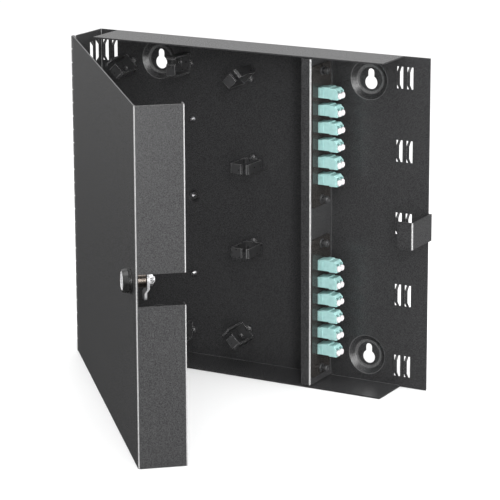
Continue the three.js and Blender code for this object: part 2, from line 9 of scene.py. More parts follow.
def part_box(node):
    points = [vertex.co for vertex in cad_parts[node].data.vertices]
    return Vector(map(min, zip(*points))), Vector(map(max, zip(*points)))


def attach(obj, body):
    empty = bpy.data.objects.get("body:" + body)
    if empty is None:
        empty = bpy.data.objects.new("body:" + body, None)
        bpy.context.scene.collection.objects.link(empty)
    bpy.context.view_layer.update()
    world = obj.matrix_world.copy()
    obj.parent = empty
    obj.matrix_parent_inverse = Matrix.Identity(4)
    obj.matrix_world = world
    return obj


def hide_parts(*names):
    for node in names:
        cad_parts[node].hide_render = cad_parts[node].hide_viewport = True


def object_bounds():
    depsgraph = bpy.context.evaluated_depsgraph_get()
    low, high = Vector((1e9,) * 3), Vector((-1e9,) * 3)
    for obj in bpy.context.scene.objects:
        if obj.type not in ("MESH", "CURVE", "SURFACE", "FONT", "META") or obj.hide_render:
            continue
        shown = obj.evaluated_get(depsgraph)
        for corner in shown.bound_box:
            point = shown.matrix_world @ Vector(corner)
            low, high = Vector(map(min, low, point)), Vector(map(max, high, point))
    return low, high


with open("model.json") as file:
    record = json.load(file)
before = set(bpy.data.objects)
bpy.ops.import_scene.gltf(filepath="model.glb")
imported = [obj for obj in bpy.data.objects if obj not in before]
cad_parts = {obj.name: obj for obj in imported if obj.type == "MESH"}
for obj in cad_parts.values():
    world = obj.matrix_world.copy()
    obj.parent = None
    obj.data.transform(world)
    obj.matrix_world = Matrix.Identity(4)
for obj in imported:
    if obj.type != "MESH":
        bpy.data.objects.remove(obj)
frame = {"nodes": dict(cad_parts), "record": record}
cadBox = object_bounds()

mm = 0.001
scene = bpy.context.scene


def deselectAll():
    bpy.ops.object.select_all(action="DESELECT")


def makeActive(piece):
    deselectAll()
    piece.select_set(True)
    bpy.context.view_layer.objects.active = piece


def applyPlace(piece):  # puts the object's place into its mesh
    makeActive(piece)
    bpy.ops.object.transform_apply(location=True, rotation=True, scale=True)


def addBlock(name, low, high):
    deselectAll()
    low, high = Vector(low), Vector(high)
    bpy.ops.mesh.primitive_cube_add(size=1, location=(low + high) / 2)
    piece = bpy.context.object
    piece.name = piece.data.name = name
    piece.scale = high - low
    applyPlace(piece)
    return piece


def addRod(name, centre, axis, radius, start, end, sides=32):  # runs from start to end along its axis
    deselectAll()
    turn = {"x": (0, math.pi / 2, 0), "y": (-math.pi / 2, 0, 0), "z": (0, 0, 0)}[axis]
    step = {"x": Vector((1, 0, 0)), "y": Vector((0, 1, 0)), "z": Vector((0, 0, 1))}[axis]
    middle = Vector(centre) + step * (start + end) / 2
    bpy.ops.mesh.primitive_cylinder_add(vertices=sides, radius=radius, depth=abs(end - start),
                                        location=middle, rotation=turn)
    piece = bpy.context.object
    piece.name = piece.data.name = name
    applyPlace(piece)
    return piece


def selectIn(piece, kind, test):  # enters edit mode with only the faces or edges that pass the test
    makeActive(piece)
    bpy.ops.object.mode_set(mode="EDIT")
    bpy.ops.mesh.select_mode(type=kind)
    bpy.ops.mesh.select_all(action="DESELECT")
    mesh = bmesh.from_edit_mesh(piece.data)
    found = 0
    for part in (mesh.faces if kind == "FACE" else mesh.edges):
        part.select = False
    for part in (mesh.faces if kind == "FACE" else mesh.edges):
        if test(part):
            part.select = True
            found += 1
    mesh.select_flush_mode()
    bmesh.update_edit_mesh(piece.data)
    return found


def leaveEdit():
    bpy.ops.object.mode_set(mode="OBJECT")


def turnOutward(piece):
    makeActive(piece)
    bpy.ops.object.mode_set(mode="EDIT")
    bpy.ops.mesh.select_all(action="SELECT")
    bpy.ops.mesh.normals_make_consistent(inside=False)
    leaveEdit()


def faceTowards(direction, level=None, tolerance=1e-5):  # faces that look one way, at one height along it
    direction = Vector(direction)

    def test(face):
        if face.normal.dot(direction) < 0.99:
            return False
        return level is None or abs(face.calc_center_median().dot(direction) - level) < tolerance
    return test


def softenEdges(piece, width, segments=2, angle=40, smooth=35, skin=-1):
    makeActive(piece)  # bevels the sharp edges and keeps the flats flat
    bevel = piece.modifiers.new("edges", "BEVEL")
    bevel.material = skin
    bevel.width = width
    bevel.segments = segments
    bevel.limit_method = "ANGLE"
    bevel.angle_limit = math.radians(angle)
    bevel.use_clamp_overlap = True
    bpy.ops.object.modifier_apply(modifier=bevel.name)
    bpy.ops.object.shade_smooth_by_angle(angle=math.radians(smooth))
    weighted = piece.modifiers.new("flats", "WEIGHTED_NORMAL")
    weighted.keep_sharp = True
    bpy.ops.object.modifier_apply(modifier=weighted.name)


def joinPieces(name, pieces):
    deselectAll()
    for piece in pieces:
        piece.select_set(True)
    bpy.context.view_layer.objects.active = pieces[0]
    bpy.ops.object.join()
    joined = bpy.context.object
    joined.name = joined.data.name = name
    return joined


def copyPiece(source, name, offset=(0, 0, 0), turn=None):
    mesh = source.data.copy()
    mesh.transform(Matrix.Translation(Vector(offset)) @ (turn or Matrix.Identity(4)))
    piece = bpy.data.objects.new(name, mesh)
    mesh.name = name
    scene.collection.objects.link(piece)
    return piece


def cadCopy(node, name):  # a copy of a CAD node's mesh, merged into one skin with its flats joined up
    piece = bpy.data.objects.new(name, frame["nodes"][node].data.copy())
    piece.data.name = name
    scene.collection.objects.link(piece)
    makeActive(piece)
    bpy.ops.object.mode_set(mode="EDIT")
    bpy.ops.mesh.select_all(action="SELECT")
    bpy.ops.mesh.remove_doubles(threshold=0.005 * mm)
    bpy.ops.mesh.dissolve_limited(angle_limit=math.radians(0.5))
    leaveEdit()
    if piece.data.has_custom_normals:
        bpy.ops.mesh.customdata_custom_splitnormals_clear()
    return piece


def finish(piece, material, body, slot, *nodes):
    if material:  # pieces of two finishes already have them
        piece.data.materials.clear()
        piece.data.materials.append(material)
    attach(piece, body)
    if nodes:
        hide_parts(*nodes)


def newMaterial(name, colour, roughness, metallic=0.0):
    material = bpy.data.materials.new(name)
    material.use_nodes = True
    shader = material.node_tree.nodes["Principled BSDF"]
    shader.inputs["Base Color"].default_value = (*colour, 1)
    shader.inputs["Roughness"].default_value = roughness
    shader.inputs["Metallic"].default_value = metallic
    return material


def addNode(material, kind, **settings):
    node = material.node_tree.nodes.new(kind)
    for key, value in settings.items():
        if hasattr(node, key):
            setattr(node, key, value)
        else:
            node.inputs[key.replace("_", " ").title()].default_value = value
    return node


def objectNoise(material, scale, detail=2.0, roughness=0.5, stretch=(1, 1, 1)):
    links = material.node_tree.links
    place = addNode(material, "ShaderNodeTexCoord")
    mapping = addNode(material, "ShaderNodeMapping")
    mapping.inputs["Scale"].default_value = stretch
    noise = addNode(material, "ShaderNodeTexNoise", scale=scale, detail=detail, roughness=roughness)
    links.new(place.outputs["Object"], mapping.inputs["Vector"])
    links.new(mapping.outputs["Vector"], noise.inputs["Vector"])
    return noise.outputs["Fac"]


def addBump(material, height, strength, distance, under=None):
    links = material.node_tree.links
    bump = addNode(material, "ShaderNodeBump", strength=strength, distance=distance)
    links.new(height, bump.inputs["Height"])
    if under:
        links.new(under, bump.inputs["Normal"])
    links.new(bump.outputs["Normal"], material.node_tree.nodes["Principled BSDF"].inputs["Normal"])
    return bump.outputs["Normal"]


def addRange(material, value, low, high, socket, clip=(0.3, 0.7)):  # spreads a pattern over a socket's range
    ramp = addNode(material, "ShaderNodeMapRange")
    ramp.inputs["From Min"].default_value, ramp.inputs["From Max"].default_value = clip
    ramp.inputs["To Min"].default_value, ramp.inputs["To Max"].default_value = low, high
    material.node_tree.links.new(value, ramp.inputs["Value"])
    shader = material.node_tree.nodes["Principled BSDF"]
    material.node_tree.links.new(ramp.outputs["Result"], shader.inputs[socket])


def addTint(material, value, dark, light, clip=(0.3, 0.7)):
    ramp = addNode(material, "ShaderNodeValToRGB")
    ramp.color_ramp.elements[0].position, ramp.color_ramp.elements[1].position = clip
    ramp.color_ramp.elements[0].color = (*dark, 1)
    ramp.color_ramp.elements[1].color = (*light, 1)
    material.node_tree.links.new(value, ramp.inputs["Fac"])
    shader = material.node_tree.nodes["Principled BSDF"]
    material.node_tree.links.new(ramp.outputs["Color"], shader.inputs["Base Color"])


def powderCoat(name, dark, light, roughness, grain):  # pebbled skin over slow orange peel
    material = newMaterial(name, light, roughness)
    pebble = objectNoise(material, grain, detail=2.0, roughness=0.65)
    speck = objectNoise(material, grain * 2.3, detail=1.0)
    addBump(material, pebble, 0.3, 0.1 * mm, under=addBump(material, speck, 0.25, 0.04 * mm))
    addTint(material, pebble, dark, light, clip=(0.36, 0.64))
    addRange(material, speck, roughness - 0.05, roughness + 0.07, "Roughness")
    return material


def moulded(name, dark, light, roughness, scatter=0.0):  # a plastic with a faint sheen variation
    material = newMaterial(name, light, roughness)
    cloud = objectNoise(material, 260.0, detail=2.0)
    skin = objectNoise(material, 2600.0, detail=2.0)
    addTint(material, cloud, dark, light)
    addRange(material, cloud, roughness - 0.04, roughness + 0.06, "Roughness")
    addBump(material, skin, 0.15, 0.02 * mm)
    shader = material.node_tree.nodes["Principled BSDF"]
    if scatter:
        shader.inputs["Subsurface Weight"].default_value = scatter
        shader.inputs["Subsurface Radius"].default_value = (1.0, 1.0, 1.0)
        shader.inputs["Subsurface Scale"].default_value = 1.2 * mm
    return material


def platedMetal(name, dark, light, roughness, stretch=(1, 1, 1), metallic=1.0):  # fine tooling marks
    material = newMaterial(name, light, roughness, metallic)
    marks = objectNoise(material, 900.0, detail=3.0, stretch=stretch)
    cloud = objectNoise(material, 160.0, detail=2.0)
    addTint(material, cloud, dark, light)
    addRange(material, marks, roughness - 0.07, roughness + 0.1, "Roughness")
    addBump(material, marks, 0.12, 0.02 * mm)
    return material


finishes = {
    "powder": powderCoat("blackPowderCoat", (0.016, 0.016, 0.017), (0.05, 0.05, 0.051), 0.29, 1000.0),
    "hinge": powderCoat("hingeBlack", (0.05, 0.05, 0.051), (0.1, 0.1, 0.101), 0.3, 900.0),
    "pin": platedMetal("darkPinSteel", (0.03, 0.03, 0.031), (0.06, 0.06, 0.061), 0.3),
    "plate": powderCoat("plateBlack", (0.016, 0.0145, 0.0135), (0.026, 0.0235, 0.022), 0.22, 1100.0),
    "aqua": moulded("aquaPlastic", (0.29, 0.49, 0.475), (0.35, 0.565, 0.55), 0.36, scatter=0.2),
    "white": moulded("whitePlastic", (0.62, 0.585, 0.595), (0.7, 0.67, 0.68), 0.36, scatter=0.3),
    "nylon": moulded("darkNylon", (0.03, 0.03, 0.031), (0.042, 0.042, 0.043), 0.3),
    # pale colour for clip edges: a painted highlight that stands in for the specular lines on the clip lips
    "nylonEdge": moulded("paleNylonEdge", (0.4, 0.4, 0.4), (0.5, 0.5, 0.5), 0.25),
    "zinc": platedMetal("brightZinc", (0.62, 0.62, 0.63), (0.8, 0.8, 0.81), 0.26),
    "barrel": platedMetal("nickelBarrel", (0.16, 0.138, 0.12), (0.27, 0.235, 0.205), 0.3, (1, 1, 6)),
    # pale coat for bent and cut edges: a painted highlight that stands in for the bright lines light leaves
    # along the folds
    "worn": powderCoat("rubbedEdge", (0.26, 0.26, 0.26), (0.38, 0.38, 0.38), 0.2, 900.0),
    "satin": platedMetal("satinPlug", (0.72, 0.72, 0.73), (0.88, 0.88, 0.89), 0.45, metallic=0.7),
    # paler coat for the keyhole dish rims: a painted highlight that stands in for light catching the dish
    # slopes
    "pressed": powderCoat("stretchedCoat", (0.08, 0.08, 0.081), (0.13, 0.13, 0.131), 0.24, 1000.0),
    "bezel": moulded("bezelBlack", (0.008, 0.008, 0.008), (0.014, 0.014, 0.014), 0.27),
}
print("materials ready")


cameraSet = {"azimuth": 28.986, "elevation": 13.379, "roll": -0.191, "distance": 2.32584,
             "target": (-0.013243, 0.0, 0.003189), "lens": 180.54, "shiftY": -0.1}
lights = {  # name: (azimuth, elevation, distance, width, height, watts)
    "top": (10, 78, 1.5, 1.2, 1.2, 11),
    "frontStrip": (38, 12, 2.7, 0.36, 2.4, 50),
    "rightStrip": (92, 10, 1.6, 0.25, 1.6, 24),
    "leftFront": (-70, 10, 1.1, 0.6, 0.6, 3.5),
}
floorSet = {"reach": 14.0, "drop": 0.3 * mm, "tone": 0.9, "above": 1.2, "below": 0.08}


def aroundTarget(azimuth, elevation, distance, target):
    a, e = math.radians(azimuth), math.radians(elevation)
    way = Vector((math.sin(a) * math.cos(e), -math.cos(a) * math.cos(e), math.sin(e)))
    return Vector(target) + way * distance, way


def addCamera():
    place, way = aroundTarget(cameraSet["azimuth"], cameraSet["elevation"], cameraSet["distance"],
                              cameraSet["target"])
    camera = bpy.data.objects.new("camera", bpy.data.cameras.new("camera"))
    scene.collection.objects.link(camera)
    azimuth = math.radians(cameraSet["azimuth"])
    right = Vector((math.cos(azimuth), math.sin(azimuth), 0))
    up = way.cross(right)
    turn = Matrix((right, up, way)).transposed().to_4x4()
    roll = Matrix.Rotation(math.radians(cameraSet["roll"]), 4, "Z")
    camera.matrix_world = Matrix.Translation(place) @ turn @ roll
    camera.data.lens = cameraSet["lens"]
    camera.data.sensor_width = 36
    camera.data.shift_y = cameraSet["shiftY"]
    camera.data.clip_end = 100
    scene.camera = camera


def addLights():
    middle = Vector((0, -0.12, 0))
    for name, (azimuth, elevation, distance, width, height, watts) in lights.items():
        place, way = aroundTarget(azimuth, elevation, distance, middle)
        data = bpy.data.lights.new(name, "AREA")
        data.shape = "RECTANGLE"
        data.size, data.size_y = width, height
        data.energy = watts
        lamp = bpy.data.objects.new(name, data)
        lamp.location = place
        lamp.rotation_euler = way.to_track_quat("Z", "Y").to_euler()
        scene.collection.objects.link(lamp)


def addStage():
    deselectAll()
    level = cadBox[0][2] - floorSet["drop"]
    bpy.ops.mesh.primitive_plane_add(size=floorSet["reach"], location=(0, 0, level))
    floor = bpy.context.object
    floor.name = "studioFloor"
    material = newMaterial("paleFloor", (floorSet["tone"],) * 3, 0.6)
    addTint(material, objectNoise(material, 6.0), (floorSet["tone"] - 0.01,) * 3, (floorSet["tone"],) * 3)
    floor.data.materials.append(material)
    floor.visible_glossy = False  # the steel mirrors the dark half of the room, not the bright floor
    world = bpy.data.worlds.new("studio")  # a pale room over a dark lower half, which the coat mirrors
    world.use_nodes = True
    nodes, links = world.node_tree.nodes, world.node_tree.links
    place, height = nodes.new("ShaderNodeTexCoord"), nodes.new("ShaderNodeSeparateXYZ")
    ramp = nodes.new("ShaderNodeMapRange")
    ramp.inputs["From Min"].default_value, ramp.inputs["From Max"].default_value = -0.25, 0.55
    ramp.inputs["To Min"].default_value = floorSet["below"]
    ramp.inputs["To Max"].default_value = floorSet["above"]
    links.new(place.outputs["Generated"], height.inputs["Vector"])
    links.new(height.outputs["Z"], ramp.inputs["Value"])
    links.new(ramp.outputs["Result"], nodes["Background"].inputs["Strength"])
    nodes["Background"].inputs["Color"].default_value = (1, 1, 1, 1)
    scene.world = world
    scene.view_settings.view_transform = "Standard"


addCamera()
addLights()
addStage()
print("stage ready")


joints = {joint["name"]: joint for joint in frame["record"]["behaviour"]["joints"]}
hingeAt = Vector(joints["door_hinge"]["pos_m"])
openAngle = math.radians(-joints["door_hinge"]["range_deg"][0])
doorPlace = Matrix.Translation(hingeAt) @ Matrix.Rotation(-openAngle, 4, "Z")  # door's own axes to the room's

sheet = {"thickness": 1.2 * mm, "edge": 0.16 * mm, "inner": 0.35 * mm}


def nearLine(edge, fixed, tolerance=0.03 * mm):  # is the edge on the line with these fixed coordinates?
    return all(abs(vert.co["xyz".index(axis)] - value) < tolerance
               for vert in edge.verts for axis, value in fixed.items())


def roundBend(piece, fixed, width, segments=5, skin=0):
    if selectIn(piece, "EDGE", lambda edge: nearLine(edge, fixed)):
        bpy.ops.mesh.bevel(offset=width, segments=segments, profile=0.5, clamp_overlap=True, material=skin)
    leaveEdit()


def bendPair(piece, outer, inner, width):  # both sides of a fold, each given a painted highlight
    roundBend(piece, outer, width, skin=1)
    roundBend(piece, inner, sheet["inner"], 3, skin=1)


def localBox(piece):
    corners = [vert.co for vert in piece.data.vertices]
    return (Vector([min(c[i] for c in corners) for i in range(3)]),
            Vector([max(c[i] for c in corners) for i in range(3)]))


def doorNodeBox(node):  # a CAD node's corners in the door's own axes
    probe = bpy.data.objects.new("probe", frame["nodes"][node].data.copy())
    probe.data.transform(doorPlace.inverted())
    box = localBox(probe)
    bpy.data.objects.remove(probe)
    return box


def nearCircle(edge, centre, radius, depth, tolerance=0.12 * mm):
    return all(abs(math.hypot(vert.co.x - centre[0], vert.co.z - centre[1]) - radius) < tolerance
               and abs(vert.co.y - depth) < tolerance for vert in edge.verts)


def foldedSheet(node, name):  # a copy of a folded sheet, with a second material that paints a highlight on its bent and cut edges
    piece = cadCopy(node, name)
    piece.data.materials.clear()
    piece.data.materials.append(finishes["powder"])
    # second material: painted highlight for the bends and bevelled edges
    piece.data.materials.append(finishes["worn"])
    # third material: painted highlight for the dish rims
    piece.data.materials.append(finishes["pressed"])
    return piece


dish = {"rim": 18.2 * mm, "floor": 12.5 * mm, "depth": 4.0 * mm, "rise": 3.0 * mm, "round": 1.5 * mm}
keyholes = []
for hole in frame["record"]["physics"]["openings"]:
    if hole["name"].startswith("keyhole_"):
        near, far = hole["box_m"]
        keyholes.append(((near[0] + far[0]) / 2, (near[2] + far[2]) / 2 + dish["rise"]))


def makeShell():
    bend = {"radius": 0.95 * mm, "strikeRadius": 1.15 * mm, "strikeSetback": 3.7 * mm}
    shell = foldedSheet("back_box", "backBoxShell")
    low, high = (Vector(corner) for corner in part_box("back_box"))
    t = sheet["thickness"]
    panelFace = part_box("divider_bracket")[1][1] + 0.05 * mm  # the divider's foot stands on the panel
    panelBack = panelFace + t
    bendPair(shell, {"x": low.x, "y": panelBack}, {"x": low.x + t, "y": panelFace}, bend["radius"])
    bendPair(shell, {"y": panelBack, "z": high.z}, {"y": panelFace, "z": high.z - t}, bend["radius"])
    bendPair(shell, {"y": panelBack, "z": low.z}, {"y": panelFace, "z": low.z + t}, bend["radius"])
    for x, z in keyholes:
        for radius, depth in ((dish["rim"], panelFace), (dish["floor"], panelFace + dish["depth"])):
            selectIn(shell, "EDGE", lambda edge: nearCircle(edge, (x, z), radius, depth))
            # material 2 paints the rounded dish rims with the painted highlight
            bpy.ops.mesh.bevel(offset=dish["round"], segments=4, profile=0.5, clamp_overlap=True, material=2)
            leaveEdit()
    strikeFront = low.y + bend["strikeSetback"]
    bendPair(shell, {"x": high.x, "y": strikeFront}, {"x": high.x - t, "y": strikeFront + t},
             bend["strikeRadius"])
    # skin 1 paints the bevelled cut edges with the painted highlight coat
    softenEdges(shell, sheet["edge"], segments=2, angle=28, smooth=30, skin=1)
    finish(shell, None, "box", "powder_coat", "back_box")


def makeDivider():
    bend = {"front": 1.25 * mm, "foot": 0.9 * mm}
    divider = foldedSheet("divider_bracket", "dividerBracket")
    low, high = localBox(divider)
    t = sheet["thickness"]
    bendPair(divider, {"x": high.x, "y": low.y}, {"x": high.x - t, "y": low.y + t}, bend["front"])
    bendPair(divider, {"x": high.x, "y": high.y}, {"x": high.x - t, "y": high.y - t}, bend["foot"])
    # skin 1 paints the bevelled cut edges with the painted highlight coat
    softenEdges(divider, sheet["edge"], segments=2, angle=30, smooth=30, skin=1)
    finish(divider, None, "box", "powder_coat", "divider_bracket")


def makeDoor():
    bend = {"edge": 0.95 * mm, "return": 1.2 * mm}
    door = foldedSheet("door_panel", "doorPanel")
    door.data.transform(doorPlace.inverted())
    low, high = localBox(door)
    t = sheet["thickness"]
    bendPair(door, {"x": high.x, "y": low.y}, {"x": high.x - t, "y": low.y + t}, bend["edge"])
    bendPair(door, {"x": high.x, "y": high.y}, {"x": high.x - t, "y": high.y - t}, bend["return"])
    # skin 1 paints the bevelled cut edges with the painted highlight coat
    softenEdges(door, 0.1 * mm, segments=2, angle=30, smooth=30, skin=1)
    door.data.transform(doorPlace)
    finish(door, None, "door", "powder_coat", "door_panel")


def makePlates():
    for level in ("upper", "lower"):
        node = "adapter_plate_" + level
        plate = cadCopy(node, "adapterPlate_" + level)
        softenEdges(plate, 0.18 * mm, segments=2, angle=30, smooth=30)
        finish(plate, finishes["plate"], "box", "plate_coat", node)


makeShell()
makeDivider()
makeDoor()
makePlates()
print("sheet metal ready")


hinge = {"count": 24, "gap": 0.9 * mm, "radius": 2.1 * mm, "bore": 1.2 * mm, "pin": 1.0 * mm,
         "leaf": 1.0 * mm, "bodyStart": 2.5 * mm, "doorStart": 2.4 * mm,
         "leafWidth": 11.0 * mm, "strap": 1.5 * mm, "edge": 0.12 * mm}


def knuckleSpans(oddOnes):
    low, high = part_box("hinge_pin")
    pitch = (high[2] - low[2]) / hinge["count"]
    for i in range(hinge["count"]):
        if i % 2 == oddOnes:
            yield low[2] + i * pitch + hinge["gap"] / 2, low[2] + (i + 1) * pitch - hinge["gap"] / 2


def rolledKnuckle(name, centre, bottom, top):  # a tube, bored by bridging its two inset ends
    tube = addRod(name, centre, "z", hinge["radius"], bottom, top, sides=28)
    selectIn(tube, "FACE", lambda face: abs(face.normal.z) > 0.9)
    bpy.ops.mesh.inset(thickness=hinge["radius"] - hinge["bore"])
    bpy.ops.mesh.bridge_edge_loops()
    leaveEdit()
    return tube


def makeHinge():
    bottom, top = (corner[2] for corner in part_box("hinge_pin"))
    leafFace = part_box("hinge_body_leaf")[1][0]
    parts = [addBlock("leaf", (leafFace - hinge["leaf"], hingeAt.y + hinge["bodyStart"], bottom),
                      (leafFace, hingeAt.y + hinge["bodyStart"] + hinge["leafWidth"], top))]
    for start, end in knuckleSpans(0):
        parts.append(rolledKnuckle("knuckle", (hingeAt.x, hingeAt.y, 0), start, end))
        parts.append(addBlock("strap", (leafFace - hinge["leaf"], hingeAt.y + hinge["strap"], start),
                              (leafFace, hingeAt.y + hinge["bodyStart"] + 1 * mm, end)))
    bodyLeaf = joinPieces("hingeBodyLeaf", parts)
    softenEdges(bodyLeaf, hinge["edge"], segments=1, angle=50)
    finish(bodyLeaf, finishes["hinge"], "box", "hinge_steel", "hinge_body_leaf")

    parts = [addBlock("leaf", (hinge["doorStart"], 0, bottom),
                      (hinge["doorStart"] + hinge["leafWidth"], hinge["leaf"] - 0.1 * mm, top))]
    for start, end in knuckleSpans(1):
        parts.append(rolledKnuckle("knuckle", (0, 0, 0), start, end))
        parts.append(addBlock("strap", (hinge["strap"], 0, start),
                              (hinge["doorStart"] + 1 * mm, hinge["leaf"] - 0.1 * mm, end)))
    doorLeaf = joinPieces("hingeDoorLeaf", parts)
    softenEdges(doorLeaf, hinge["edge"], segments=1, angle=50)
    doorLeaf.data.transform(doorPlace)
    finish(doorLeaf, finishes["hinge"], "door", "hinge_steel", "hinge_door_leaf")

    pin = addRod("hingePin", (hingeAt.x, hingeAt.y, 0), "z", hinge["pin"], bottom, top, sides=20)
    softenEdges(pin, 0.2 * mm, segments=3, angle=40)
    finish(pin, finishes["pin"], "box", "hinge_steel", "hinge_pin")


makeHinge()
print("hinge ready")


def turnedPart(name, centre, axis, points, sides=40):
    # points are (radius, distance along the axis); the end face is pulled from each point to the next
    (radius, start), (_, level) = points[0], points[1]
    piece = addRod(name, centre, axis, radius, start, level, sides)
    way = {"x": Vector((1, 0, 0)), "y": Vector((0, 1, 0)), "z": Vector((0, 0, 1))}[axis]
    sign = math.copysign(1, level - start)
    selectIn(piece, "FACE", faceTowards(way * sign, sign * level))
    for nextRadius, nextLevel in points[2:]:
        bpy.ops.mesh.extrude_region_move()
        ratio = nextRadius / radius
        bpy.ops.transform.resize(value=[1 if part else ratio for part in way],
                                 center_override=Vector(centre) + way * level)
        bpy.ops.transform.translate(value=way * (nextLevel - level))
        radius, level = nextRadius, nextLevel
    leaveEdit()
    return piece


def threadedPart(name, centre, axis, radius, start, end, pitch, sides=28):
    points = [(radius, start), (radius, start + pitch / 4)]
    level, crest = start + pitch / 4, True
    while abs(end - level) > pitch:
        level += math.copysign(pitch / 2, end - start)
        crest = not crest
        points.append((radius if crest else radius * 0.84, level))
    points.append((radius * 0.8, end))
    return turnedPart(name, centre, axis, points, sides)


adapterNodes = sorted(name for name in frame["nodes"]
                      if name.startswith("adapter_") and not name.startswith("adapter_plate"))
adapterSet = {"edge": 0.32 * mm, "ribs": 3, "ribWidth": 0.7 * mm, "ribPitch": 1.5 * mm, "ribHigh": 0.45 * mm,
              "ribStart": 1.3 * mm, "ribDown": 3.9 * mm, "ribUp": 3.6 * mm,
              "panelStart": 11.6 * mm, "panelHigh": 0.2 * mm, "halfWidth": 6.5 * mm}
capSet = {"radius": 2.8 * mm, "stem": 2.1 * mm, "stand": 2.0 * mm, "seat": 0.2 * mm, "offset": 3.1 * mm,
          "dimple": 1.1 * mm}


def adapterMiddle(node):
    low, high = (Vector(corner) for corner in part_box(node))
    return (low + high) / 2


def makeAdapters():
    first = adapterNodes[0]
    low, high = (Vector(corner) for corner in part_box(first))
    middle = adapterMiddle(first)
    body = cadCopy(first, "adapterBody")
    softenEdges(body, adapterSet["edge"], segments=3, angle=25, smooth=40)
    parts = [body]
    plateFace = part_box("adapter_plate_upper")[1][0]
    for side in (-1, 1):  # gripping ribs on both flanks, and a raised panel further out
        flank = middle.y + side * adapterSet["halfWidth"]
        for i in range(adapterSet["ribs"]):
            x = plateFace + adapterSet["ribStart"] + i * adapterSet["ribPitch"]
            stand = adapterSet["ribHigh"]
            rib = addBlock("rib", (x, flank - stand, middle.z - adapterSet["ribDown"]),
                           (x + adapterSet["ribWidth"], flank + stand, middle.z + adapterSet["ribUp"]))
            softenEdges(rib, 0.2 * mm, segments=2)
            parts.append(rib)
        stand = adapterSet["panelHigh"]
        panel = addBlock("panel", (plateFace + adapterSet["panelStart"], flank - stand, middle.z - 4.6 * mm),
                         (high.x - 1.2 * mm, flank + stand, middle.z + 1.2 * mm))
        softenEdges(panel, 0.15 * mm, segments=2)
        parts.append(panel)
    master = joinPieces("adapterMaster", parts)
    for node in adapterNodes:
        piece = copyPiece(master, node.replace("adapter_", "duplexAdapter_"), adapterMiddle(node) - middle)
        finish(piece, finishes["aqua"], "box", "aqua_plastic", node)
    bpy.data.objects.remove(master)


def makeDustCaps():
    low, high = (Vector(corner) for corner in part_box(adapterNodes[0]))
    middle = adapterMiddle(adapterNodes[0])
    face = high.x + capSet["seat"]
    axisZ = (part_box("dust_cap_01")[0][2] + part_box("dust_cap_01")[1][2]) / 2
    parts = []
    for side in (-1, 1):
        r = capSet["radius"]
        end = face + capSet["stand"]
        plug = turnedPart("plug", (0, middle.y + side * capSet["offset"], axisZ), "x", [
            (capSet["stem"], face - 3 * mm), (capSet["stem"], face), (r, face), (r, end - 1.2 * mm),
            (r * 0.965, end - 0.75 * mm), (r * 0.86, end - 0.32 * mm), (r * 0.68, end - 0.06 * mm),
            (capSet["dimple"] + 0.25 * mm, end), (capSet["dimple"], end - 0.35 * mm)], sides=32)
        softenEdges(plug, 0.12 * mm, segments=2, angle=45, smooth=45)
        parts.append(plug)
    tie = addBlock("tie", (face + 0.1 * mm, middle.y - capSet["offset"], axisZ - 0.8 * mm),
                   (face + 1.1 * mm, middle.y + capSet["offset"], axisZ + 0.8 * mm))
    softenEdges(tie, 0.25 * mm, segments=2)
    master = joinPieces("capMaster", parts + [tie])
    aboutPlate = (Matrix.Translation(((low.x + high.x) / 2, middle.y, 0)) @ Matrix.Rotation(math.pi, 4, "Z")
                  @ Matrix.Translation((-(low.x + high.x) / 2, -middle.y, 0)))
    for node in adapterNodes:
        number = node.split("_")[1]
        offset = adapterMiddle(node) - middle
        right = copyPiece(master, "dustCap_" + number, offset)
        finish(right, finishes["white"], "b_dust_cap_" + number, "white_plastic", "dust_cap_" + number)
        left = copyPiece(master, "dustCapLeft_" + number, offset, aboutPlate)
        finish(left, finishes["white"], "box", "white_plastic")
    bpy.data.objects.remove(master)


def makeLatches():
    latch = {"flange": 4.2 * mm, "sleeve": 2.7 * mm, "pin": 1.6 * mm, "neck": 2.2 * mm, "head": 3.2 * mm}
    for node in sorted(name for name in frame["nodes"] if name.startswith("latch_grommet_")):
        where = node.replace("latch_grommet_", "")
        low, high = (Vector(corner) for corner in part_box(node))
        centre = (0, (low.y + high.y) / 2, (low.z + high.z) / 2)
        seat = high.x - 1.4 * mm
        grommet = turnedPart("latchGrommet_" + where, centre, "x", [
            (latch["sleeve"] * 0.9, low.x), (latch["sleeve"] * 0.9, low.x + 1 * mm),
            (latch["sleeve"], low.x + 1.6 * mm), (latch["sleeve"], seat),
            (latch["flange"], seat), (latch["flange"], high.x - 0.4 * mm),
            (latch["flange"] - 0.4 * mm, high.x), (latch["neck"] + 0.5 * mm, high.x),
            (latch["neck"] + 0.2 * mm, high.x - 0.3 * mm)], sides=40)
        softenEdges(grommet, 0.12 * mm, segments=2)
        finish(grommet, finishes["nylon"], "box", "black_nylon", node)
        low, high = (Vector(corner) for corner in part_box("latch_plunger_" + where))
        plunger = turnedPart("latchPlunger_" + where, centre, "x", [
            (1.2 * mm, low.x), (1.2 * mm, low.x + 0.3 * mm), (latch["pin"], low.x + 1.5 * mm),
            (latch["pin"], seat + 1.8 * mm), (latch["neck"], seat + 1.8 * mm),
            (latch["neck"], high.x - 3.4 * mm),
            (latch["head"], high.x - 3.0 * mm), (latch["head"], high.x - 0.8 * mm),
            (latch["head"] - 0.7 * mm, high.x), (latch["head"] - 1.3 * mm, high.x),
            (latch["head"] - 1.6 * mm, high.x - 0.5 * mm)], sides=40)
        softenEdges(plunger, 0.14 * mm, segments=2)
        finish(plunger, finishes["nylon"], "b_latch_plunger_" + where, "black_nylon",
               "latch_plunger_" + where)


makeAdapters()
makeDustCaps()
makeLatches()
print("adapters, caps and latches ready")


